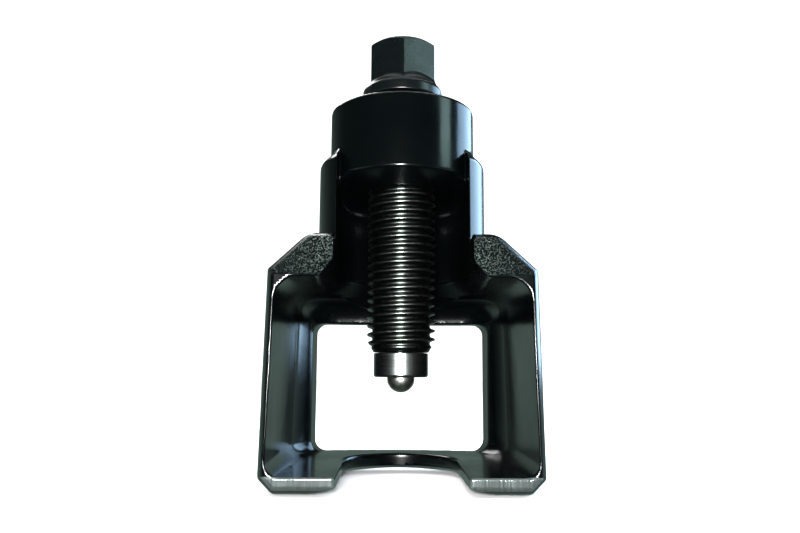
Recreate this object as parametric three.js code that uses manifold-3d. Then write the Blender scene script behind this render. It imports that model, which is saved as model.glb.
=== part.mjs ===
// Ball joint separator: a forged yoke with a threaded collar, a forcing screw that feeds down
// through it, and a steel thrust ball held in a retainer on the screw's nose.
// Millimetres, +Z up, the fork's mouth facing -Y. Shapes are drawn about the screw's axis, with
// Z = 0 under the feet, and the whole group is shifted so that the origin is the foot centre.
import * as THREE from "three";
import { mergeVertices } from "three/addons/utils/BufferGeometryUtils.js";
import Module from "manifold-3d";

const wasm = await Module();
wasm.setup();

// ---- driving dimensions ----
const GAP = 0.35; // clearance between neighbouring pieces
const OVERLAP = 1; // how far a cutting shape runs past what it cuts

const PITCH = 3; // M24 x 3 thread
const SCREW_R = 12;
const THREAD_DEPTH = 1.84;
const CREST_WIDTH = 0.6;
const ROOT_WIDTH = 0.6;
const THREAD_LIFT = 1; // height of a ridge's foot above a whole pitch, on the +X side
const TURN_STEPS = 20; // flats in one turn of the thread

const FRONT_Y = -42; // front plane of the cage
const REAR_Y = 33; // outermost point of the rear wall
const REAR_BOW = 2.7; // how far the rear wall's corners lie in front of its middle
const REAR_CORNER = 16;
const CAGE_HALF = 42.9; // half-width over the feet, at the front
const SHOULDER_HALF = 41.6; // half-width where the side turns into the shoulder
const SHOULDER_Z = 67.1;
const EAR_HALF = 29.2; // where the shoulder meets the top of the ear
const EAR_TOP = 78.6;
const SIDE_DRAFT = 0.036; // the outer sides widen this much per mm towards the rear
const FOOT_CHAMFER = 4.6; // outer lower corners
const FRONT_BEVEL = 2.3; // bevel round the front's outer edge, as seen from the front
const FRONT_BEVEL_DEPTH = 3.5;
const PLATE_TOP = 5.9;
const FORK_R = 19.6; // half the fork's opening
const FORK_BEVEL_R = 26; // underside bevel round the fork's opening
const FORK_BEVEL_Z = 2.5;

const CAVITY_HALF = 40.1; // half-width of the cage's inside, at the plate
const CAVITY_TOP_HALF = 38.5;
const CAVITY_TOP = 64.2;
const CAVITY_FILLET = 7;
const CAVITY_CORNER = 15;
const REAR_WALL = 7.5;
const WINDOW_HALF = 32.1;
const WINDOW_TOP = 54.5;
const WINDOW_FILLET = 4;

const NECK_R = 29.5;
const NECK_TOP = 112.2; // the neck's sloping top meets the collar here
const NECK_SLOPE_R = 3.7;
const NECK_SLOPE_Z = 3.7;
const NECK_SLOT_HALF = 22.1; // the neck's wall stops here, each side of the front channel
const COLLAR_R = 25.8;
const COLLAR_TOP = 129.4;
const COLLAR_CHAMFER = 1;
const POCKET_HALF = 21.7; // channel in front of the screw
const POCKET_RIM = 4.6; // chamfer round the pocket's lower rim
const POCKET_RIM_Z = 5.2;
const ARCH_TOP = 103.3; // pocket roof at the collar's face
const POCKET_ROOF = 99.3; // pocket roof round the screw
const ARCH_FILLET = 5;

const BALL_R = 4.8;
const BALL_Z = 33.9;
const RETAINER_R = 9.5;
const RETAINER_BOTTOM = 34.3;
const RETAINER_TOP = 42.6;
const RETAINER_CHAMFER = 0.8;
const MOUTH_LIP = 0.4; // how far the retainer's mouth closes in under the ball
const SPIGOT_R = 6;
const THREAD_BOTTOM = RETAINER_TOP + GAP;
const THREAD_TOP = 131.4;
const NOSE_R = 9.7; // the thread's nose tapers to this radius
const NOSE_HEIGHT = 3.9;
const FLANGE_R = 14.5;
const FLANGE_BOTTOM = 134.4;
const FLANGE_EDGE_Z = 138.1; // the flange's cone starts here
const FLANGE_CONE_R = 10.5;
const FLANGE_TOP = 141.5;
const HEX_FLATS = 23;
const HEX_TOP = 155.7;
const CROWN_R = 10.6; // the hexagon's flat top ends here and its crown slopes off
const CROWN_SLOPE = 0.7;

// ---- solids and meshes ----
function solid(geometry) {
  const bare = geometry.index ? geometry.toNonIndexed() : geometry.clone();
  bare.deleteAttribute("normal");
  bare.deleteAttribute("uv");
  const merged = mergeVertices(bare, 1e-4);
  return new wasm.Manifold(new wasm.Mesh({
    numProp: 3,
    vertProperties: new Float32Array(merged.attributes.position.array),
    triVerts: new Uint32Array(merged.index.array),
  }));
}

function mesh(name, body, look) {
  const { vertProperties, triVerts } = body.getMesh();
  const geometry = new THREE.BufferGeometry();
  geometry.setAttribute("position", new THREE.BufferAttribute(vertProperties, 3));
  geometry.setIndex(new THREE.BufferAttribute(triVerts, 1));
  geometry.computeVertexNormals();
  const piece = new THREE.Mesh(geometry, new THREE.MeshStandardMaterial(look));
  piece.name = name;
  return piece;
}

// A body of revolution about +Z from a profile of [radius, height] pairs that starts and ends on
// the axis, lowest point first.
function turned(profile, steps = 48) {
  const points = profile.map(([r, z]) => new THREE.Vector2(r, z));
  return solid(new THREE.LatheGeometry(points, steps).rotateX(Math.PI / 2));
}

// An outline in X and Z, extruded along Y between two depths, with both ends bevelled if asked.
function throughDepth(shape, fromY, toY, steps = 6, bevel = 0, bevelDepth = 0) {
  const geometry = new THREE.ExtrudeGeometry(shape, {
    depth: toY - fromY - 2 * bevelDepth,
    curveSegments: steps,
    bevelEnabled: bevel > 0,
    bevelSize: bevel,
    bevelOffset: -bevel,
    bevelThickness: bevelDepth,
    bevelSegments: 1,
  });
  return geometry.rotateX(Math.PI / 2).translate(0, toY - bevelDepth, 0);
}

// An outline in X and Y, extruded upwards between two heights.
function upright(shape, fromZ, toZ, steps = 8) {
  const options = { depth: toZ - fromZ, bevelEnabled: false, curveSegments: steps };
  return new THREE.ExtrudeGeometry(shape, options).translate(0, 0, fromZ);
}

// Widens a geometry along X in proportion to its distance behind the front plane.
function drafted(geometry, slope) {
  const place = geometry.attributes.position;
  for (let i = 0; i < place.count; i += 1) {
    const growth = (slope * (place.getY(i) - FRONT_Y)) / CAGE_HALF;
    place.setX(i, place.getX(i) * (1 + growth));
  }
  return geometry;
}

function polygon(points) {
  return new THREE.Shape(points.map(([x, y]) => new THREE.Vector2(x, y)));
}

function mirrored(points) {
  return [...points, ...points.map(([x, y]) => [-x, y]).reverse()];
}

// A closed outline through corners given as [x, y, fillet], each eased by a curve of that reach.
function eased(corners) {
  const shape = new THREE.Shape();
  corners.forEach(([x, y, fillet], i) => {
    const corner = new THREE.Vector2(x, y);
    const last = new THREE.Vector2(...corners[(i + corners.length - 1) % corners.length]);
    const next = new THREE.Vector2(...corners[(i + 1) % corners.length]);
    const from = last.sub(corner).setLength(fillet).add(corner);
    const to = next.sub(corner).setLength(fillet).add(corner);
    if (i === 0) shape.moveTo(from.x, from.y);
    else shape.lineTo(from.x, from.y);
    if (fillet > 0) shape.quadraticCurveTo(x, y, to.x, to.y);
  });
  return shape;
}

function easedBox(half, topHalf, low, high, fillet) {
  return eased([
    [half, low, fillet], [topHalf, high, fillet], [-topHalf, high, fillet], [-half, low, fillet],
  ]);
}

// A channel open to -Y with a round end about the screw's axis.
function channel(half, openY) {
  const shape = new THREE.Shape();
  shape.moveTo(half, openY);
  shape.lineTo(half, 0);
  shape.absarc(0, 0, half, 0, Math.PI);
  shape.lineTo(-half, openY);
  return shape;
}

// ---- thread ----
// A rod with one ridge per pitch, wound as a single strip and closed at each end by a fan to the
// axis. The section starts at the foot of a ridge; its last point joins the next turn's first.
function threadedRod(crestR, rootR, crestWidth, rootWidth, fromZ, toZ) {
  const flank = (PITCH - crestWidth - rootWidth) / 2;
  const foot = rootWidth / 2;
  const section = [
    [rootR, foot],
    [crestR, foot + flank],
    [crestR, foot + flank + crestWidth],
    [rootR, PITCH - foot],
  ];
  const columns = section.length;
  const firstTurn = Math.floor(fromZ / PITCH) - 2;
  const rows = (Math.ceil(toZ / PITCH) + 1 - firstTurn) * TURN_STEPS;
  const vertices = [];
  for (let row = 0; row <= rows; row += 1) {
    const turns = row / TURN_STEPS;
    const angle = 2 * Math.PI * turns;
    for (const [r, z] of section) {
      const height = z + THREAD_LIFT + PITCH * (firstTurn + turns);
      vertices.push(r * Math.cos(angle), r * Math.sin(angle), height);
    }
  }
  const at = (row, column) => (
    column < columns ? row * columns + column : (row + TURN_STEPS) * columns
  );
  const faces = [];
  for (let row = 0; row < rows; row += 1) {
    const spans = row + 1 + TURN_STEPS <= rows ? columns : columns - 1;
    for (let column = 0; column < spans; column += 1) {
      const [low, high] = [at(row, column), at(row, column + 1)];
      const [nextLow, nextHigh] = [at(row + 1, column), at(row + 1, column + 1)];
      faces.push(low, nextLow, high, nextLow, nextHigh, high);
    }
  }
  const lowRim = [];
  for (let row = 0; row <= TURN_STEPS; row += 1) lowRim.push(at(row, 0));
  for (let column = columns - 1; column > 0; column -= 1) lowRim.push(at(0, column));
  const highRim = [];
  for (let row = rows - TURN_STEPS; row <= rows; row += 1) highRim.push(at(row, columns - 1));
  for (let column = columns - 2; column >= 0; column -= 1) highRim.push(at(rows, column));
  const closeEnd = (rim, z, facesDown) => {
    const hub = vertices.length / 3;
    vertices.push(0, 0, z);
    rim.forEach((corner, i) => {
      const next = rim[(i + 1) % rim.length];
      if (facesDown) faces.push(hub, next, corner);
      else faces.push(hub, corner, next);
    });
  };
  closeEnd(lowRim, THREAD_LIFT + PITCH * firstTurn, true);
  closeEnd(highRim, THREAD_LIFT + PITCH * (firstTurn + rows / TURN_STEPS + 1), false);
  const geometry = new THREE.BufferGeometry();
  geometry.setAttribute("position", new THREE.Float32BufferAttribute(vertices, 3));
  geometry.setIndex(faces);
  return solid(geometry);
}

// ---- yoke: one forging, so one solid ----
function cageBlock() {
  const right = [
    [CAGE_HALF - FOOT_CHAMFER, 0, 0],
    [CAGE_HALF, FOOT_CHAMFER, 0],
    [SHOULDER_HALF, SHOULDER_Z, 0],
    [EAR_HALF, EAR_TOP, 3],
  ];
  const outline = eased([...right, ...right.map(([x, z, fillet]) => [-x, z, fillet]).reverse()]);
  const long = throughDepth(outline, FRONT_Y, REAR_Y + 10, 4, FRONT_BEVEL, FRONT_BEVEL_DEPTH);
  const plan = upright(planOutline(CAGE_HALF + 3, REAR_Y, REAR_CORNER), -OVERLAP, NECK_TOP);
  return solid(drafted(long, SIDE_DRAFT)).intersect(solid(plan));
}

// Plan of the cage: straight sides, rounded rear corners and a slightly bowed rear wall.
function planOutline(half, rear, corner) {
  const shape = new THREE.Shape();
  shape.moveTo(-half, FRONT_Y - OVERLAP);
  shape.lineTo(half, FRONT_Y - OVERLAP);
  shape.lineTo(half, rear - REAR_BOW - corner);
  shape.quadraticCurveTo(half, rear - REAR_BOW, half - corner, rear - REAR_BOW);
  shape.quadraticCurveTo(0, rear + REAR_BOW, -half + corner, rear - REAR_BOW);
  shape.quadraticCurveTo(-half, rear - REAR_BOW, -half, rear - REAR_BOW - corner);
  return shape;
}

function cavity() {
  const face = easedBox(CAVITY_HALF, CAVITY_TOP_HALF, PLATE_TOP, CAVITY_TOP, CAVITY_FILLET);
  const plan = planOutline(CAVITY_HALF, REAR_Y - REAR_WALL, CAVITY_CORNER);
  const tunnel = solid(throughDepth(face, FRONT_Y - OVERLAP, REAR_Y));
  return tunnel.intersect(solid(upright(plan, 0, NECK_TOP)));
}

function rearWindow() {
  const face = easedBox(WINDOW_HALF, WINDOW_HALF, PLATE_TOP, WINDOW_TOP, WINDOW_FILLET);
  return solid(throughDepth(face, 0, REAR_Y + 5, 3));
}

function forkMouth() {
  const slope = FORK_BEVEL_Z / (FORK_BEVEL_R - FORK_R);
  const wide = FORK_BEVEL_R + OVERLAP;
  const below = -OVERLAP * slope;
  const mouth = solid(upright(channel(FORK_R, FRONT_Y - OVERLAP), -OVERLAP, PLATE_TOP + OVERLAP));
  const straight = solid(throughDepth(polygon(mirrored([
    [wide, below],
    [FORK_R, FORK_BEVEL_Z],
  ])), FRONT_Y - OVERLAP, 0));
  const round = turned([[0, below], [wide, below], [FORK_R, FORK_BEVEL_Z], [0, FORK_BEVEL_Z]]);
  return mouth.add(straight).add(round);
}

// The roof of the pocket rises from the screw towards the arch in the collar's face.
function pocketRoof() {
  const flatR = 8;
  const below = CAVITY_TOP - 3;
  const reach = Math.hypot(POCKET_HALF, FRONT_Y) + 2 * OVERLAP;
  const profile = [[0, below], [reach, below], [reach, ARCH_TOP]];
  for (let step = 0; step <= 4; step += 1) {
    const share = 1 - step / 4;
    profile.push([
      flatR + (COLLAR_R - flatR) * share,
      POCKET_ROOF + (ARCH_TOP - POCKET_ROOF) * share ** 2,
    ]);
  }
  return turned([...profile, [0, POCKET_ROOF]]);
}

// The rear half of the pocket ends in a rounded corner between its wall and its roof.
function pocketDome() {
  const reach = POCKET_HALF + OVERLAP / 2;
  const profile = [[0, CAVITY_TOP - 3], [reach, CAVITY_TOP - 3]];
  for (let step = 0; step <= 4; step += 1) {
    const angle = (step / 4) * (Math.PI / 2);
    profile.push([
      reach - ARCH_FILLET * (1 - Math.cos(angle)),
      POCKET_ROOF - ARCH_FILLET * (1 - Math.sin(angle)),
    ]);
  }
  return turned([...profile, [0, POCKET_ROOF]]);
}

// The channel that opens the neck to the front, with a chamfer round its lower rim.
function pocket() {
  const shaft = solid(upright(channel(POCKET_HALF, FRONT_Y - OVERLAP), CAVITY_TOP - 2, ARCH_TOP));
  const arch = solid(throughDepth(
    easedBox(POCKET_HALF, POCKET_HALF, CAVITY_TOP - 12, ARCH_TOP, ARCH_FILLET),
    FRONT_Y - 2 * OVERLAP, 0.01));
  const outer = POCKET_HALF + POCKET_RIM * (1 + OVERLAP / POCKET_RIM_Z);
  const inner = POCKET_HALF;
  const low = CAVITY_TOP - OVERLAP;
  const high = CAVITY_TOP + POCKET_RIM_Z;
  const rim = turned([[0, low], [outer, low], [inner, high], [0, high]]);
  const frontRim = throughDepth(polygon(mirrored([[outer, low], [inner, high]])), FRONT_Y - OVERLAP, 0);
  return shaft.intersect(pocketRoof()).intersect(arch.add(pocketDome())).add(rim).add(solid(frontRim));
}

// The neck's wall stops each side of the front channel, so the collar shows between.
function neckShell() {
  const neck = turned([
    [0, CAVITY_TOP],
    [NECK_R, CAVITY_TOP],
    [NECK_R, NECK_TOP - NECK_SLOPE_Z],
    [NECK_R - NECK_SLOPE_R, NECK_TOP],
    [0, NECK_TOP],
  ]);
  const slot = polygon(mirrored([[NECK_SLOT_HALF, 0], [NECK_SLOT_HALF, COLLAR_TOP]]));
  const core = turned([[0, 0], [COLLAR_R, 0], [COLLAR_R, COLLAR_TOP], [0, COLLAR_TOP]]);
  const opening = solid(throughDepth(slot, FRONT_Y - OVERLAP, 0)).subtract(core);
  return neck.subtract(opening);
}

function collar() {
  const low = POCKET_ROOF - 3;
  return turned([
    [0, low],
    [COLLAR_R, low],
    [COLLAR_R, COLLAR_TOP - COLLAR_CHAMFER],
    [COLLAR_R - COLLAR_CHAMFER, COLLAR_TOP],
    [0, COLLAR_TOP],
  ]);
}

function collarThread() {
  const widening = 0.1;
  const room = GAP + widening;
  const [low, high] = [POCKET_ROOF - 4, COLLAR_TOP + OVERLAP];
  const groove = threadedRod(
    SCREW_R + room, SCREW_R - THREAD_DEPTH + room,
    CREST_WIDTH + 2 * widening, ROOT_WIDTH - 2 * widening, low, high);
  const lead = SCREW_R + OVERLAP;
  return groove.intersect(turned([[0, low], [lead, low], [lead, high], [0, high]]));
}

function yoke() {
  return cageBlock()
    .add(neckShell())
    .add(collar())
    .subtract(cavity())
    .subtract(rearWindow())
    .subtract(forkMouth())
    .subtract(pocket())
    .subtract(collarThread());
}

// ---- forcing screw: hexagon, flange, thread and the spigot that holds the retainer ----
function hexagon() {
  const corner = HEX_FLATS / Math.sqrt(3);
  const shape = new THREE.Shape();
  for (let i = 0; i < 6; i += 1) {
    const angle = Math.PI / 2 + (i * Math.PI) / 3;
    shape[i ? "lineTo" : "moveTo"](corner * Math.cos(angle), corner * Math.sin(angle));
  }
  const reach = corner + OVERLAP;
  const crown = turned([
    [0, FLANGE_EDGE_Z],
    [reach, FLANGE_EDGE_Z],
    [reach, HEX_TOP - (reach - CROWN_R) * CROWN_SLOPE],
    [CROWN_R, HEX_TOP],
    [0, HEX_TOP],
  ]);
  return solid(upright(shape, FLANGE_EDGE_Z, HEX_TOP)).intersect(crown);
}

function forcingScrew() {
  const rootR = SCREW_R - THREAD_DEPTH;
  const crestR = SCREW_R + 0.1;
  const rod = threadedRod(SCREW_R, rootR, CREST_WIDTH, ROOT_WIDTH, THREAD_BOTTOM, THREAD_TOP);
  const envelope = turned([
    [0, THREAD_BOTTOM],
    [NOSE_R, THREAD_BOTTOM],
    [crestR, THREAD_BOTTOM + NOSE_HEIGHT],
    [crestR, THREAD_TOP - THREAD_DEPTH],
    [rootR, THREAD_TOP],
    [0, THREAD_TOP],
  ]);
  const edge = 0.5;
  const shank = turned([
    [0, THREAD_TOP - OVERLAP],
    [rootR, THREAD_TOP - OVERLAP],
    [rootR, FLANGE_BOTTOM],
    [FLANGE_R - edge, FLANGE_BOTTOM],
    [FLANGE_R, FLANGE_BOTTOM + edge],
    [FLANGE_R, FLANGE_EDGE_Z],
    [FLANGE_CONE_R, FLANGE_TOP],
    [0, FLANGE_TOP],
  ]);
  const spigotEnd = BALL_Z + BALL_R + GAP;
  const spigotTop = THREAD_BOTTOM + OVERLAP;
  const spigot = turned([
    [0, spigotEnd], [SPIGOT_R, spigotEnd], [SPIGOT_R, spigotTop], [0, spigotTop],
  ], 32);
  return rod.intersect(envelope).add(shank).add(spigot).add(hexagon());
}

// ---- ball retainer: a sleeve pressed on the spigot, closed in below the ball's equator ----
function ballRetainer() {
  const seatR = BALL_R + GAP;
  const mouthR = Math.sqrt(seatR ** 2 - (BALL_Z - RETAINER_BOTTOM) ** 2) - MOUTH_LIP;
  const below = RETAINER_BOTTOM - OVERLAP;
  const above = RETAINER_TOP + OVERLAP;
  const seatTop = BALL_Z + BALL_R;
  const sleeve = turned([
    [0, RETAINER_BOTTOM],
    [RETAINER_R - RETAINER_CHAMFER, RETAINER_BOTTOM],
    [RETAINER_R, RETAINER_BOTTOM + RETAINER_CHAMFER],
    [RETAINER_R, RETAINER_TOP],
    [0, RETAINER_TOP],
  ]);
  const mouth = turned([[0, below], [mouthR, below], [mouthR, seatTop], [0, seatTop]], 32);
  const seat = turned([[0, BALL_Z], [seatR, BALL_Z], [seatR, seatTop], [0, seatTop]], 32);
  const socketR = SPIGOT_R + GAP;
  const socket = turned([[0, seatTop], [socketR, seatTop], [socketR, above], [0, above]], 32);
  return sleeve.subtract(mouth.add(seat).add(socket));
}

function thrustBall() {
  const ball = new THREE.SphereGeometry(BALL_R, 28, 18);
  return solid(ball.rotateX(Math.PI / 2).translate(0, 0, BALL_Z));
}

// ---- assembly ----
const blackOxide = { color: 0x0b0d0f, roughness: 0.22, metalness: 0.6 };
const gunmetal = { color: 0x34332f, roughness: 0.3, metalness: 1 };
const groundSteel = { color: 0x5a6062, roughness: 0.28, metalness: 1 };
const ballSteel = { color: 0xb9bdbc, roughness: 0.18, metalness: 1 };

const separator = new THREE.Group();
separator.position.y = -(FRONT_Y + REAR_Y) / 2;
separator.add(mesh("yoke", yoke(), blackOxide));
separator.add(mesh("forcing_screw", forcingScrew(), gunmetal));
separator.add(mesh("ball_retainer", ballRetainer(), groundSteel));
separator.add(mesh("thrust_ball", thrustBall(), ballSteel));

export default separator;
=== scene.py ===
"""Ball joint separator: a black forged yoke, its forcing screw, the ball retainer and the ball.

Shapes are worked out in millimetres about the screw's axis, with z = 0 under the feet and the
fork's mouth facing -y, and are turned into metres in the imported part's frame when a mesh is made.
"""

import math

import bmesh
import bpy
import numpy as np
from mathutils import Matrix, Vector


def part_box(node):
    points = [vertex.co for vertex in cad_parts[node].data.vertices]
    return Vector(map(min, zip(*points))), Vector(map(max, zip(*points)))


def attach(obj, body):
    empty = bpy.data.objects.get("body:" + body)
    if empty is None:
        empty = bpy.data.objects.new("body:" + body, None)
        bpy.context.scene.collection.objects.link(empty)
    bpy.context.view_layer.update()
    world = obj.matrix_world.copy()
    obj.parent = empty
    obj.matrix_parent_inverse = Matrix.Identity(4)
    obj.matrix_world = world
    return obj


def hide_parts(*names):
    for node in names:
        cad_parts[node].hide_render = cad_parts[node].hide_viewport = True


MM = 0.001

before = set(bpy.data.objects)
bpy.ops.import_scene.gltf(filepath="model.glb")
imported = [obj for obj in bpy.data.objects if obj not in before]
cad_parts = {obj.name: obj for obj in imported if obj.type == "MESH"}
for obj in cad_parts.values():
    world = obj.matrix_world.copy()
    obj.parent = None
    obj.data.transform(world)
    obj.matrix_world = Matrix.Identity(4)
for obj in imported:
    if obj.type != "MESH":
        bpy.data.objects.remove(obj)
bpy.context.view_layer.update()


# ---- sizes, in millimetres ----
screw_low, screw_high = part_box("forcing_screw")
AXIS = np.array([(screw_low.x + screw_high.x) / 2, (screw_low.y + screw_high.y) / 2, 0.0])


def box_mm(node):
    """A CAD node's box in millimetres, about the screw's axis."""
    low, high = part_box(node)
    return (np.array(low) - AXIS) / MM, (np.array(high) - AXIS) / MM


# The cage's outside.
yoke_low, yoke_high = box_mm("yoke")
FRONT_Y, REAR_Y = yoke_low[1], yoke_high[1]
BOW_RUN = 30.0  # half-width over which the rear wall's two faces curve forward by their bows
REAR_BOW = 2.7
CAGE_HALF = 42.9  # half-width over the feet, at the front
SHOULDER_HALF = 41.6
SHOULDER_Z = 67.1
SHOULDER_RUN = 12.4  # from the shoulder's corner to the top of the ear
SHOULDER_RISE = 11.5
EAR_TOP = 78.6
SIDE_DRAFT = 0.036  # the sides widen this much per mm towards the rear
FRONT_BEVEL = 2.3  # bevel round the front's outer edge, as seen from the front
FRONT_BEVEL_DEPTH = 3.5
FOOT_CHAMFER = 4.6

# The fork plate, the cage's inside and the rear window.
PLATE_TOP = 5.9
PLATE_DROP = 0.3  # the plate's front edge is this much lower
PLATE_SLOPE = 0.015
FORK_R = 19.6
FORK_BEVEL_R = 26.0  # underside bevel round the mouth
FORK_BEVEL_Z = 2.2
CAVITY_HALF = 40.1  # half-width at the plate, at the front
CAVITY_TOP_HALF = 38.5
CAVITY_TOP = 64.2
CAVITY_DRAFT = 0.02  # the inside narrows this much per mm towards the rear
CAVITY_BOW = 2.2
REAR_WALL = 7.5
WINDOW_HALF = 32.5
WINDOW_TOP = 54.45
WINDOW_DRAFT = 0.09

# The neck, its front channel and the collar.
NECK_R = 29.5
NECK_TOP = 112.2
NECK_SLOPE = 3.7  # size of the slope at the neck's top
COLLAR_R = 25.8
COLLAR_TOP = yoke_high[2]
COLLAR_CHAMFER = 0.8
POCKET_HALF = 21.3  # half-width of the channel, at the front
POCKET_DRAFT = 0.03
POCKET_RIM = 4.6  # chamfer round the channel's lower rim
POCKET_RIM_Z = 5.2
POCKET_ROOF = 99.3  # round the screw
POCKET_FLAT_R = 8.0  # the roof is flat out to here, then lifts
ARCH_TOP = 103.3  # the roof where it meets the collar's face
BORE_R = 12.6

# The screw.
SCREW_R = 12.0
THREAD_ROOT_R = 10.16
PITCH = 3.0
THREAD_LIFT = 1.0  # height of a ridge's foot above a whole pitch, on the +x side
HEX_FLATS = 23.0
HEX_TOP = box_mm("forcing_screw")[1][2]
CROWN_R = 10.6  # the hexagon's flat top ends here and its crown slopes off
CROWN_SLOPE = 0.7
FLANGE_R = box_mm("forcing_screw")[1][0]
FLANGE_BOTTOM = 134.4
FLANGE_EDGE_Z = 138.1  # the flange's cone starts here

# The ball and its retainer.
RETAINER_BOTTOM, RETAINER_TOP = (corner[2] for corner in box_mm("ball_retainer"))
RETAINER_R = box_mm("ball_retainer")[1][0]
BALL_R = box_mm("thrust_ball")[1][0]
BALL_Z = box_mm("thrust_ball")[0][2] + BALL_R
THREAD_BOTTOM = RETAINER_TOP + 0.35
THREAD_TOP = 131.4


# ---- distance fields: negative inside, with rounded edges ----
def common(a, b, radius):
    """What is inside both fields; the edge between them is rounded off."""
    corner = np.hypot(np.maximum(a + radius, 0), np.maximum(b + radius, 0))
    return np.minimum(-radius, np.maximum(a, b)) + corner


def joined(a, b, radius):
    """What is inside either field, with a fillet where they meet."""
    return -common(-a, -b, radius)


def cut(a, b, radius):
    """The first field without the second, with its new edges rounded off."""
    return common(a, -b, radius)


def channel_distance(x, y):
    """Distance from the middle of a channel that is open to -y and ends round the screw's axis."""
    return np.where(y < 0, np.abs(x), np.hypot(x, y))


def cage(x, y, z):
    """The outside of the box: leaning sides, shoulders, roof, front bevel and bowed rear."""
    half = np.abs(x) - SIDE_DRAFT * (y - FRONT_Y)
    side = half - CAGE_HALF + (CAGE_HALF - SHOULDER_HALF) * z / SHOULDER_Z
    foot = (half - CAGE_HALF + FOOT_CHAMFER - z) / math.sqrt(2)
    shoulder = SHOULDER_RISE * (half - SHOULDER_HALF) + SHOULDER_RUN * (z - SHOULDER_Z)
    shoulder = shoulder / math.hypot(SHOULDER_RISE, SHOULDER_RUN)
    outline = common(common(side, shoulder, 0.4), foot, 0.8)
    outline = common(common(outline, z - EAR_TOP, 2.2), -z, 0.8)
    bevel = FRONT_BEVEL_DEPTH * outline + FRONT_BEVEL * (FRONT_Y - y + FRONT_BEVEL_DEPTH)
    bevel = bevel / math.hypot(FRONT_BEVEL, FRONT_BEVEL_DEPTH)
    rear = y - REAR_Y + REAR_BOW * (x / BOW_RUN) ** 2
    body = common(common(outline, rear, 12.0), bevel, 2.0)
    return common(body, FRONT_Y - y, 0.4)


def neck_and_collar(x, y, z):
    """The neck's wall, open at the front, and the turned collar on it."""
    r = np.hypot(x, y)
    ledge = (r - NECK_R + z - NECK_TOP + NECK_SLOPE) / math.sqrt(2)
    neck = common(common(r - NECK_R, ledge, 0.8), z - NECK_TOP, 0.5)
    slot = np.maximum(np.abs(x) - POCKET_HALF - 0.8, y)
    neck = cut(neck, slot, 0.5)
    collar = common(r - COLLAR_R, z - COLLAR_TOP, 0.3)
    collar = common(collar, (r + z - COLLAR_R - COLLAR_TOP + COLLAR_CHAMFER) / math.sqrt(2), 0.3)
    return np.maximum(joined(neck, collar, 1.2), CAVITY_TOP + 1 - z)


def cage_hollow(x, y, z):
    """The inside of the cage and the window through its rear wall."""
    lean = (CAVITY_HALF - CAVITY_TOP_HALF) / (CAVITY_TOP - PLATE_TOP)
    side = np.abs(x) - CAVITY_HALF + lean * (z - PLATE_TOP) + CAVITY_DRAFT * (y - FRONT_Y)
    inner_y = REAR_Y - REAR_WALL
    rear = y - inner_y + CAVITY_BOW * (x / BOW_RUN) ** 2
    roof_fillet = 7 + 3 * np.clip((y - 5) / 15, 0, 1)
    room = common(common(side, rear, 14.0), z - CAVITY_TOP, roof_fillet)
    jamb = np.abs(x) - WINDOW_HALF + WINDOW_DRAFT * (y - inner_y)
    window = np.maximum(common(jamb, z - WINDOW_TOP, 4.0), -y)
    plate = PLATE_TOP - PLATE_DROP + PLATE_SLOPE * (y - FRONT_Y) - z
    return common(joined(room, window, 0.8), plate, 4.5)


def fork_mouth(x, y, z):
    """The U-shaped mouth in the plate, with a wide bevel round its underside."""
    q = channel_distance(x, y)
    slope = FORK_BEVEL_Z / (FORK_BEVEL_R - FORK_R)
    bevel = (z - FORK_BEVEL_Z + slope * (q - FORK_R)) / math.hypot(1, slope)
    mouth = np.minimum(q - FORK_R, bevel)
    return np.maximum(mouth, z - PLATE_TOP - 3)


def pocket(x, y, z):
    """The channel in the neck, its lifted arch and the chamfer round its lower rim."""
    q = channel_distance(x, y) - POCKET_DRAFT * (np.minimum(y, 0) - FRONT_Y)
    lift = (ARCH_TOP - POCKET_ROOF) * np.clip(0.5 - y / 20, 0, 1)
    share = np.maximum(np.hypot(x, y) - POCKET_FLAT_R, 0) / (COLLAR_R - POCKET_FLAT_R)
    roof = POCKET_ROOF + lift * share ** 2
    shaft = common(q - POCKET_HALF, z - roof, 5.0)
    rim = POCKET_RIM_Z * (q - POCKET_HALF) + POCKET_RIM * (z - CAVITY_TOP - POCKET_RIM_Z)
    rim = np.maximum(rim / math.hypot(POCKET_RIM, POCKET_RIM_Z), q - POCKET_HALF - POCKET_RIM)
    return common(joined(shaft, rim, 0.4), CAVITY_TOP - 4 - z, 2.0)


def bore(x, y, z):
    """The collar's bore, countersunk at its top."""
    r = np.hypot(x, y)
    top = (r - BORE_R - 1.2 - (z - COLLAR_TOP)) / math.sqrt(2)
    return np.maximum(np.minimum(r - BORE_R, top), POCKET_ROOF - 8 - z)


def yoke_field(x, y, z):
    """The whole forging: the cage and neck less everything that is cut from them."""
    body = joined(cage(x, y, z), neck_and_collar(x, y, z), 3.0)
    body = cut(body, cage_hollow(x, y, z), 0.6)
    body = cut(body, fork_mouth(x, y, z), 1.0)
    body = cut(body, pocket(x, y, z), 0.6)
    return cut(body, bore(x, y, z), 0.4)


# ---- meshes from fields ----
def gradient(field, p, step=0.02):
    """The field's gradient at points, by central differences."""
    g = np.empty_like(p)
    for axis in range(3):
        ahead, behind = p.copy(), p.copy()
        ahead[:, axis] += step
        behind[:, axis] -= step
        g[:, axis] = (field(*ahead.T) - field(*behind.T)) / (2 * step)
    return g


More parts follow.
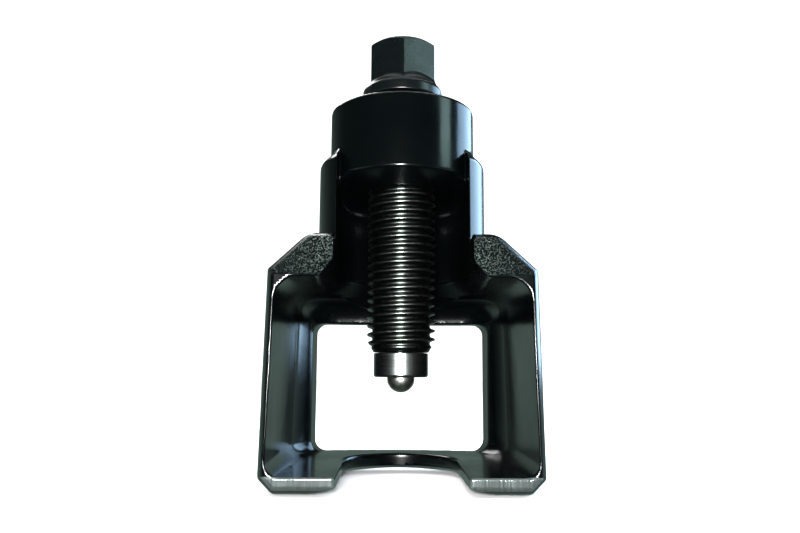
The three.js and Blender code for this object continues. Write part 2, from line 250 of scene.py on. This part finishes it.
def surface_net(field, low, high, cell):
    """Vertices on the field's zero surface, quads and outward normals."""
    ticks = [np.arange(a, b + cell, cell) for a, b in zip(low, high)]
    grid = np.meshgrid(*ticks, indexing="ij")
    value = field(*grid)
    inside = value < 0
    total = np.zeros([n - 1 for n in value.shape] + [3])
    count = np.zeros(total.shape[:3])
    corner = [slice(0, -1), slice(1, None)]
    for axis in range(3):
        others = [a for a in range(3) if a != axis]
        start = [slice(None)] * 3
        end = [slice(None)] * 3
        start[axis], end[axis] = corner
        v0, v1 = value[tuple(start)], value[tuple(end)]
        crossing = inside[tuple(start)] != inside[tuple(end)]
        share = np.where(crossing, v0 / np.where(crossing, v0 - v1, 1), 0)
        for i in range(2):
            for j in range(2):
                pick = [slice(None)] * 3
                pick[others[0]], pick[others[1]] = corner[i], corner[j]
                hit = crossing[tuple(pick)]
                total[..., axis] += np.where(hit, share[tuple(pick)], 0)
                total[..., others[0]] += hit * i
                total[..., others[1]] += hit * j
                count += hit
    used = count > 0
    index = np.full(used.shape, -1)
    index[used] = np.arange(used.sum())
    place = np.argwhere(used)
    points = np.array(low) + cell * (place + total[used] / count[used][:, None])
    quads = []
    for axis in range(3):
        a, b = (axis + 1) % 3, (axis + 2) % 3
        start = [slice(1, -1)] * 3
        end = [slice(1, -1)] * 3
        start[axis], end[axis] = slice(0, -1), slice(1, None)
        change = inside[tuple(start)].astype(int) - inside[tuple(end)]
        base = np.argwhere(change != 0)
        outward = change[change != 0] > 0
        base[:, [a, b]] += 1
        ring = []
        for da, db in ((0, 0), (1, 0), (1, 1), (0, 1)):
            at = base.copy()
            at[:, a] -= 1 - da
            at[:, b] -= 1 - db
            ring.append(index[tuple(at.T)])
        ring = np.stack(ring, 1)
        quads.append(np.where(outward[:, None], ring, ring[:, ::-1]))
    for _ in range(4):
        g = gradient(field, points)
        size = np.maximum((g ** 2).sum(1), 0.2)
        step = np.clip(field(*points.T) / size, -cell / 2, cell / 2)
        points -= step[:, None] * g
    normals = gradient(field, points)
    normals /= np.linalg.norm(normals, axis=1)[:, None]
    return points, np.concatenate(quads), normals


def new_piece(name, points, faces, normals=None):
    """A mesh object in metres, placed in the part's frame."""
    mesh = bpy.data.meshes.new(name)
    corners = [[int(i) for i in face] for face in faces]
    mesh.from_pydata((np.asarray(points) * MM + AXIS).tolist(), [], corners)
    mesh.validate()
    mesh.shade_smooth()
    if normals is not None:
        mesh.normals_split_custom_set_from_vertices(normals.tolist())
    piece = bpy.data.objects.new(name, mesh)
    bpy.context.scene.collection.objects.link(piece)
    return piece


# ---- yoke ----
def make_yoke():
    """The forging as one mesh, drawn from its field."""
    margin = 1.2
    cell = 0.8
    low = yoke_low - margin
    high = yoke_high + margin
    piece = new_piece("yoke_forging", *surface_net(yoke_field, low, high, cell))
    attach(piece, "yoke_body")
    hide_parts("yoke")
    return piece


# ---- forcing screw ----
def head_field(x, y, z):
    """Hexagon with a turned crown, the flange under it and the shank."""
    r = np.hypot(x, y)
    hexagon = np.full(x.shape, -1e3)
    for turn in range(3):
        angle = turn * math.pi / 3
        across = np.abs(x * math.cos(angle) + y * math.sin(angle)) - HEX_FLATS / 2
        hexagon = common(hexagon, across, 0.35)
    crown = (z - HEX_TOP + CROWN_SLOPE * (r - CROWN_R)) / math.hypot(1, CROWN_SLOPE)
    hexagon = common(common(hexagon, z - HEX_TOP, 0.3), crown, 0.3)
    hexagon = np.maximum(hexagon, FLANGE_EDGE_Z - z)
    cone = (r - FLANGE_R + z - FLANGE_EDGE_Z) / math.sqrt(2)
    disc = common(common(r - FLANGE_R, cone, 0.6), FLANGE_BOTTOM - z, 0.5)
    shank = r - THREAD_ROOT_R
    solid = joined(joined(disc, hexagon, 1.2), shank, 0.6)
    solid = np.where(z > HEX_TOP - 2, hexagon, solid)
    return np.maximum(solid, THREAD_TOP - 1.5 - z)


def nose_radius(z):
    """The cone that the thread's lower end is turned to."""
    return THREAD_ROOT_R - 0.5 + (z - THREAD_BOTTOM) * 0.6


def trimmed_thread(r, z):
    """Thread radii held inside the nose cone and the run-out, with a plain band at the nose."""
    runout = THREAD_ROOT_R - 0.2 + np.maximum(THREAD_TOP - z, 0) * 1.4
    plain = nose_radius(z) - 1.2 * np.maximum(z - THREAD_BOTTOM - 1.5, 0)
    filled = np.maximum(r, np.minimum(plain, SCREW_R))
    return np.minimum(np.minimum(filled, nose_radius(z)), np.minimum(runout, SCREW_R))


def thread_section():
    """Radius and height over one pitch: rounded root, straight flanks and a narrow crest."""
    depth = SCREW_R - THREAD_ROOT_R
    crest_half, root_half = 0.3, 0.5
    crest_at = PITCH / 2
    return [
        (THREAD_ROOT_R, 0.0),
        (THREAD_ROOT_R + 0.03 * depth, root_half * 0.7),
        (THREAD_ROOT_R + 0.16 * depth, root_half * 1.3),
        (SCREW_R - 0.14 * depth, crest_at - crest_half * 1.35),
        (SCREW_R - 0.03 * depth, crest_at - crest_half * 0.8),
        (SCREW_R, crest_at),
        (SCREW_R - 0.03 * depth, crest_at + crest_half * 0.8),
        (SCREW_R - 0.14 * depth, crest_at + crest_half * 1.35),
        (THREAD_ROOT_R + 0.16 * depth, PITCH - root_half * 1.3),
        (THREAD_ROOT_R + 0.03 * depth, PITCH - root_half * 0.7),
    ]


def thread_surface(steps=96):
    """The helical thread as one strip, trimmed by its envelope; its round ends are left open."""
    section = np.array(thread_section())
    columns = len(section)
    first = math.floor(THREAD_BOTTOM / PITCH) - 2
    turns = math.ceil(THREAD_TOP / PITCH) + 1 - first
    turn = np.arange(turns * steps + 1) / steps
    z = section[None, :, 1] + THREAD_LIFT + PITCH * (first + turn[:, None])
    z = np.clip(z, THREAD_BOTTOM, THREAD_TOP)
    r = trimmed_thread(section[None, :, 0], z)
    angle = 2 * math.pi * turn[:, None] + 0 * z
    points = np.stack([r * np.cos(angle), r * np.sin(angle), z], -1).reshape(-1, 3)
    rows = np.arange(turns * steps)
    faces = []
    for column in range(columns):
        last = column == columns - 1
        kept = rows[: len(rows) - steps] if last else rows
        low = kept * columns + column
        high = (kept + steps) * columns if last else low + 1
        faces.append(np.stack([low, low + columns, high + columns, high], 1))
    return points, np.concatenate(faces)


def close_and_weld(piece, tolerance=1e-6):
    """Welds what the trimming collapsed, closes the round ends and turns the faces outwards."""
    bm = bmesh.new()
    bm.from_mesh(piece.data)
    bmesh.ops.remove_doubles(bm, verts=bm.verts, dist=tolerance)
    bmesh.ops.dissolve_degenerate(bm, dist=tolerance, edges=bm.edges)
    bmesh.ops.holes_fill(bm, edges=[e for e in bm.edges if e.is_boundary], sides=0)
    bmesh.ops.recalc_face_normals(bm, faces=bm.faces)
    bm.to_mesh(piece.data)
    bm.free()
    piece.data.shade_smooth()


def make_screw():
    """The head and the thread, two meshes of one piece."""
    low = np.array([-FLANGE_R - 1, -FLANGE_R - 1, THREAD_TOP - 2.5])
    high = np.array([FLANGE_R + 1, FLANGE_R + 1, HEX_TOP + 1])
    head = new_piece("screw_head", *surface_net(head_field, low, high, 0.4))
    thread = new_piece("screw_thread", *thread_surface())
    close_and_weld(thread)
    for piece in (head, thread):
        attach(piece, "screw_body")
    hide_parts("forcing_screw")
    return head, thread


# ---- turned pieces ----
def arc(center_r, center_z, radius, start, end, steps=6):
    """Points of a quarter round in a profile, with angles in degrees from outwards."""
    angles = np.radians(np.linspace(start, end, steps))
    return [(center_r + radius * math.cos(a), center_z + radius * math.sin(a)) for a in angles]


def turned_piece(name, profile, steps=128):
    """A body of revolution about the screw's axis from a profile that starts and ends on it."""
    profile = np.array(profile)
    inner = profile[1:-1]
    angle = 2 * math.pi * np.arange(steps) / steps
    ring = np.stack([
        inner[None, :, 0] * np.cos(angle)[:, None],
        inner[None, :, 0] * np.sin(angle)[:, None],
        inner[None, :, 1] + 0 * angle[:, None],
    ], -1)
    count = len(inner)
    points = np.concatenate([ring.reshape(-1, 3), [[0, 0, profile[0][1]], [0, 0, profile[-1][1]]]])
    bottom, top = len(points) - 2, len(points) - 1
    faces = []
    for i in range(steps):
        here, there = i * count, (i + 1) % steps * count
        for j in range(count - 1):
            faces.append((here + j, there + j, there + j + 1, here + j + 1))
        faces.append((there, here, bottom))
        faces.append((here + count - 1, there + count - 1, top))
    return new_piece(name, points, faces)


def make_retainer():
    """The sleeve: rounded nose rim, a mouth that holds the ball, and a rounded top edge under the
    thread.
    """
    seat_r = BALL_R + 0.2
    mouth_r = math.sqrt(seat_r ** 2 - (BALL_Z - RETAINER_BOTTOM) ** 2)
    profile = [(0, BALL_Z + BALL_R + 0.2), (0.01, BALL_Z + BALL_R + 0.2)]
    profile += arc(0, BALL_Z, seat_r, 88, 8, 10)
    profile += [(mouth_r, RETAINER_BOTTOM + 0.35)]
    profile += arc(mouth_r + 0.35, RETAINER_BOTTOM + 0.35, 0.35, 180, 270, 4)
    profile += arc(RETAINER_R - 0.9, RETAINER_BOTTOM + 0.9, 0.9, -90, 0, 7)
    profile += [(RETAINER_R, RETAINER_TOP - 0.25)]
    profile += arc(RETAINER_R - 0.25, RETAINER_TOP - 0.25, 0.25, 0, 90, 4)
    profile += [(0.01, RETAINER_TOP), (0, RETAINER_TOP)]
    piece = turned_piece("nose_retainer", profile)
    add_bevel_normals(piece)
    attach(piece, "screw_body")
    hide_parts("ball_retainer")
    return piece


def make_ball():
    """The steel ball in the screw's nose."""
    profile = [(0, BALL_Z - BALL_R)] + arc(0, BALL_Z, BALL_R, -88, 88, 45) + [(0, BALL_Z + BALL_R)]
    piece = turned_piece("steel_ball", profile, 96)
    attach(piece, "ball_body")
    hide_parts("thrust_ball")
    return piece


def add_bevel_normals(piece):
    """Flat faces keep flat shading beside their small rounds."""
    weighted = piece.modifiers.new("flat_faces", "WEIGHTED_NORMAL")
    weighted.keep_sharp = True


# ---- materials ----
class Nodes:
    """A new material's node tree, with a short way to add and link its nodes."""

    def __init__(self, name):
        self.material = bpy.data.materials.new(name)
        self.material.use_nodes = True
        self.tree = self.material.node_tree
        self.shader = self.tree.nodes["Principled BSDF"]
        self.place = self.add("ShaderNodeTexCoord").outputs["Object"]

    def add(self, kind, **settings):
        node = self.tree.nodes.new(kind)
        for key, value in settings.items():
            if hasattr(node, key):
                setattr(node, key, value)
            else:
                node.inputs[key].default_value = value
        return node

    def link(self, source, target):
        self.tree.links.new(source, target)

    def noise(self, scale, detail=4.0, stretch=None):
        """Noise over the object's own coordinates, stretched along an axis where asked."""
        node = self.add("ShaderNodeTexNoise")
        node.inputs["Scale"].default_value = scale
        node.inputs["Detail"].default_value = detail
        if stretch:
            mapping = self.add("ShaderNodeMapping")
            mapping.inputs["Scale"].default_value = stretch
            self.link(self.place, mapping.inputs["Vector"])
            self.link(mapping.outputs["Vector"], node.inputs["Vector"])
        else:
            self.link(self.place, node.inputs["Vector"])
        return node.outputs["Fac"]

    def fit(self, value, low, high, to_low, to_high):
        """A value mapped from one range to another, held at the ends."""
        node = self.add("ShaderNodeMapRange")
        node.inputs["From Min"].default_value = low
        node.inputs["From Max"].default_value = high
        node.inputs["To Min"].default_value = to_low
        node.inputs["To Max"].default_value = to_high
        self.link(value, node.inputs["Value"])
        return node.outputs["Result"]

    def math(self, operation, a, b):
        node = self.add("ShaderNodeMath", operation=operation)
        for socket, value in zip(node.inputs, (a, b)):
            if isinstance(value, (int, float)):
                socket.default_value = value
            else:
                self.link(value, socket)
        return node.outputs[0]

    def colour(self, factor, low, high):
        node = self.add("ShaderNodeMixRGB")
        self.link(factor, node.inputs["Fac"])
        node.inputs["Color1"].default_value = (*low, 1)
        node.inputs["Color2"].default_value = (*high, 1)
        return node.outputs["Color"]

    def blend(self, factor, low, high):
        """A colour between two other nodes' colours."""
        node = self.add("ShaderNodeMixRGB")
        for socket, value in zip(node.inputs, (factor, low, high)):
            self.link(value, socket)
        return node.outputs[0]

    def bump(self, height, distance, strength=1.0, under=None):
        node = self.add("ShaderNodeBump")
        node.inputs["Distance"].default_value = distance
        node.inputs["Strength"].default_value = strength
        self.link(height, node.inputs["Height"])
        if under is not None:
            self.link(under, node.inputs["Normal"])
        return node.outputs["Normal"]

    def axis(self, name):
        node = self.add("ShaderNodeSeparateXYZ")
        self.link(self.place, node.inputs["Vector"])
        return node.outputs[name]

    def set(self, **values):
        for key, value in values.items():
            socket = self.shader.inputs[key.replace("_", " ")]
            if isinstance(value, bpy.types.NodeSocket):
                self.link(value, socket)
            else:
                socket.default_value = value
        return self.material


def black_forging():
    """Black oxide: faint forged waviness, coarse grain on the ears whose bright specks are partly a
    painted highlight, fainter towards the sides, foot faces worn bright.
    """
    n = Nodes("black_forging")
    front = n.fit(n.axis("Y"), (FRONT_Y + 1.0) * MM + AXIS[1], (FRONT_Y + 0.4) * MM + AXIS[1], 0, 1)
    above = n.fit(n.axis("Z"), (CAVITY_TOP + 0.5) * MM, (CAVITY_TOP + 1.5) * MM, 0, 1)
    below = n.fit(n.axis("Z"), PLATE_TOP * MM, (PLATE_TOP - 0.8) * MM, 0, 1)
    ear = n.math("MULTIPLY", front, above)
    foot = n.math("MULTIPLY", front, below)
    grain = n.math("ADD", n.noise(1900, 5), n.math("MULTIPLY", n.noise(3600, 3), 0.5))
    brushing = n.noise(1800, 2, (1, 0.05, 0.05))
    smooth_bump = n.bump(n.noise(90, 3), 0.0005, 0.2)
    fine_bump = n.bump(n.noise(1100, 4), 0.0001, 0.1, smooth_bump)
    ear_bump = n.bump(n.math("MULTIPLY", grain, ear), 0.0012, 1.0, fine_bump)
    foot_bump = n.bump(n.math("MULTIPLY", brushing, foot), 0.0002, 0.5, ear_bump)
    smudge = n.fit(n.noise(35, 5), 0.35, 0.7, 0.15, 0.26)
    oxide = n.colour(n.noise(14, 2), (0.0006, 0.0012, 0.0014), (0.001, 0.0018, 0.002))
    # Painted highlight, in part: the ears' bright grain specks are full strength near the middle
    # and fade to a quarter towards the sides, following the flash's reflection.
    aside = n.fit(n.math("ABSOLUTE", n.axis("X"), 0), 0.024, 0.038, 1, 0.25)
    grain_specks_and_painted_glints = n.math("MULTIPLY", n.fit(grain, 0.72, 1.05, 0, 1), aside)
    # The ears' colour: dark forging scale with light grain specks, which are partly a painted
    # highlight.
    scale = n.colour(grain_specks_and_painted_glints, (0.004, 0.006, 0.006), (0.17, 0.21, 0.19))
    worn = n.colour(brushing, (0.05, 0.065, 0.065), (0.24, 0.27, 0.26))
    metal = n.math("ADD", n.math("MULTIPLY", foot, 0.8), n.math("MULTIPLY", ear, 0.6))
    return n.set(
        Base_Color=n.blend(foot, n.blend(ear, oxide, scale), worn),
        Roughness=smudge,
        Normal=foot_bump,
        Metallic=metal,
        Specular_IOR_Level=0.35,
    )


def thread_steel():
    """Oiled dark steel, with a painted highlight on the crests and the roots left darker as painted
    shade.
    """
    n = Nodes("thread_steel")
    radius = n.add("ShaderNodeVectorMath", operation="LENGTH")
    flat = n.add("ShaderNodeVectorMath", operation="MULTIPLY_ADD")
    flat.inputs[1].default_value = (1, 1, 0)
    flat.inputs[2].default_value = (0, -AXIS[1], 0)
    n.link(n.place, flat.inputs[0])
    n.link(flat.outputs[0], radius.inputs[0])
    # Painted highlight: the crests, the outermost half millimetre of the thread, are coloured
    # lighter than the roots, which stay dark as painted shade.
    crest = n.fit(radius.outputs["Value"], (SCREW_R - 0.5) * MM, SCREW_R * MM, 0, 1)
    shade = n.colour(crest, (0.075, 0.085, 0.08), (0.22, 0.235, 0.22))
    rough = n.fit(n.noise(700, 4), 0.3, 0.7, 0.26, 0.38)
    lines = n.bump(n.noise(300, 3, (1, 1, 30)), 0.00005, 0.15)
    return n.set(Base_Color=shade, Roughness=rough, Normal=lines, Metallic=1.0)


def head_black():
    """Black oxide on the machined hexagon and flange, a little lighter than the forging."""
    n = Nodes("head_black")
    tint = n.colour(n.noise(60, 3), (0.002, 0.0034, 0.004), (0.003, 0.005, 0.0056))
    rough = n.fit(n.noise(160, 4), 0.3, 0.7, 0.24, 0.34)
    surface = n.bump(n.noise(900, 4), 0.0001, 0.15)
    return n.set(Base_Color=tint, Roughness=rough, Normal=surface, Metallic=0.1)


def ground_steel():
    """Finely turned steel: faint lines round the sleeve."""
    n = Nodes("ground_steel")
    tint = n.colour(n.noise(120, 3, (1, 1, 8)), (0.24, 0.265, 0.255), (0.30, 0.325, 0.315))
    rough = n.fit(n.noise(400, 4, (0.2, 0.2, 12)), 0.3, 0.7, 0.27, 0.32)
    lines = n.bump(n.noise(500, 2, (0.05, 0.05, 12)), 0.00002, 0.04)
    return n.set(Base_Color=tint, Roughness=rough, Normal=lines, Metallic=1.0)


def ball_steel():
    """Satin bearing steel with light scuffs."""
    n = Nodes("ball_steel")
    tint = n.colour(n.noise(500, 4), (0.34, 0.36, 0.33), (0.48, 0.50, 0.46))
    rough = n.fit(n.noise(900, 4), 0.3, 0.7, 0.3, 0.42)
    scuffs = n.bump(n.noise(1800, 4), 0.00005, 0.3)
    return n.set(Base_Color=tint, Roughness=rough, Normal=scuffs, Metallic=1.0)


def paint(piece, material):
    piece.data.materials.clear()
    piece.data.materials.append(material)


# ---- camera ----
def make_camera():
    """The view straight into the cage from just above the floor, tilted up at the hexagon."""
    distance, aside, height = 264.6, -4.0, 34.6
    pitch, yaw, roll = (math.radians(a) for a in (8.35, -0.755, 0.35))
    data = bpy.data.cameras.new("camera")
    data.sensor_width = 36
    data.lens = 33.7
    data.clip_start = 0.01
    camera = bpy.data.objects.new("camera", data)
    turn = Matrix.Rotation(yaw, 4, "Z") @ Matrix.Rotation(math.pi / 2 + pitch, 4, "X")
    place = Vector(AXIS) + Vector((aside, -distance, height)) * MM
    camera.matrix_world = Matrix.Translation(place) @ turn @ Matrix.Rotation(roll, 4, "Z")
    bpy.context.scene.collection.objects.link(camera)
    bpy.context.scene.camera = camera


# ---- studio ----
def area_light(name, place, aim, size, watts, tint=(1, 1, 1)):
    """A softbox at a place in metres about the object's middle, facing the aim."""
    data = bpy.data.lights.new(name, "AREA")
    data.shape = "RECTANGLE"
    data.size, data.size_y = size
    data.energy = watts
    data.color = tint
    lamp = bpy.data.objects.new(name, data)
    lamp.location = place
    lamp.rotation_euler = (Vector(aim) - Vector(place)).to_track_quat("-Z", "Y").to_euler()
    bpy.context.scene.collection.objects.link(lamp)
    return lamp


def make_floor():
    """A plain white floor just under the feet, kept out of the glossy reflections."""
    half, z = 6.0, -0.0003
    corners = [(-half, -half, z), (half, -half, z), (half, half, z), (-half, half, z)]
    mesh = bpy.data.meshes.new("floor")
    mesh.from_pydata(corners, [], [(0, 1, 2, 3)])
    floor = bpy.data.objects.new("floor", mesh)
    bpy.context.scene.collection.objects.link(floor)
    floor.visible_glossy = False
    n = Nodes("floor")
    shade = n.colour(n.noise(3, 2), (0.86, 0.86, 0.86), (0.89, 0.89, 0.89))
    paint(floor, n.set(Base_Color=shade, Roughness=0.9))
    return floor


def make_world():
    """White to the eye and the floor; dim in reflections, but for glows behind and beside."""
    world = bpy.data.worlds.new("studio")
    world.use_nodes = True
    tree = world.node_tree
    tree.nodes.remove(tree.nodes["Background"])
    link = tree.links.new

    def math_node(operation, a, b):
        node = tree.nodes.new("ShaderNodeMath")
        node.operation = operation
        for socket, value in zip(node.inputs, (a, b)):
            if isinstance(value, bpy.types.NodeSocket):
                link(value, socket)
            else:
                socket.default_value = value
        return node.outputs[0]

    def eased(value, start, end, height=1.0):
        node = tree.nodes.new("ShaderNodeMapRange")
        node.interpolation_type = "SMOOTHSTEP"
        link(value, node.inputs["Value"])
        node.inputs["From Min"].default_value = start
        node.inputs["From Max"].default_value = end
        node.inputs["To Max"].default_value = height
        return node.outputs["Result"]

    def light(colour, strength):
        node = tree.nodes.new("ShaderNodeBackground")
        node.inputs["Color"].default_value = (*colour, 1)
        if isinstance(strength, bpy.types.NodeSocket):
            link(strength, node.inputs["Strength"])
        else:
            node.inputs["Strength"].default_value = strength
        return node.outputs[0]

    toward = tree.nodes.new("ShaderNodeSeparateXYZ")
    link(tree.nodes.new("ShaderNodeTexCoord").outputs["Generated"], toward.inputs[0])
    x, y, z = toward.outputs
    horizon = math_node("MULTIPLY", eased(y, 0.1, 0.8, 0.24), eased(z, 0.5, 0.1))
    aside = eased(math_node("ABSOLUTE", x, 0.0), 0.55, 0.9, 0.9)
    bench = math_node("MULTIPLY", aside, eased(z, -0.05, -0.3))
    glow = math_node("ADD", math_node("ADD", horizon, bench), 0.05)
    ray = tree.nodes.new("ShaderNodeLightPath")
    mix = tree.nodes.new("ShaderNodeMixShader")
    link(ray.outputs["Is Glossy Ray"], mix.inputs["Fac"])
    link(light((1.0, 1.0, 1.0), 1.25), mix.inputs[1])
    link(light((0.74, 1.0, 0.90), glow), mix.inputs[2])
    link(mix.outputs[0], tree.nodes["World Output"].inputs["Surface"])
    bpy.context.scene.world = world


def make_studio():
    """A small flash beside the lens, softboxes to the right and high ones above and behind."""
    make_world()
    make_floor()
    middle = (0, 0, 0.08)
    area_light("flash", (-0.015, -0.262, 0.045), middle, (0.045, 0.03), 1.8)
    area_light("right_rear_box", (0.52, 0.30, 0.24), middle, (0.5, 0.4), 4.2, (0.5, 0.74, 1.0))
    area_light("right_box", (0.56, -0.20, 0.40), middle, (0.2, 0.3), 1.0, (0.7, 1.0, 1.0))
    area_light("top_box", (0.0, 0.1, 0.9), middle, (0.9, 0.9), 3)
    area_light("rear_high_box", (-0.5, 0.8, 1.0), middle, (0.8, 0.5), 8)


make_camera()
forging = make_yoke()
screw_head, screw_thread = make_screw()
retainer = make_retainer()
ball = make_ball()
paint(forging, black_forging())
paint(screw_head, head_black())
paint(screw_thread, thread_steel())
paint(retainer, ground_steel())
paint(ball, ball_steel())
make_studio()
bpy.context.scene.view_settings.view_transform = "Standard"
bpy.context.scene.view_settings.look = "Medium High Contrast"
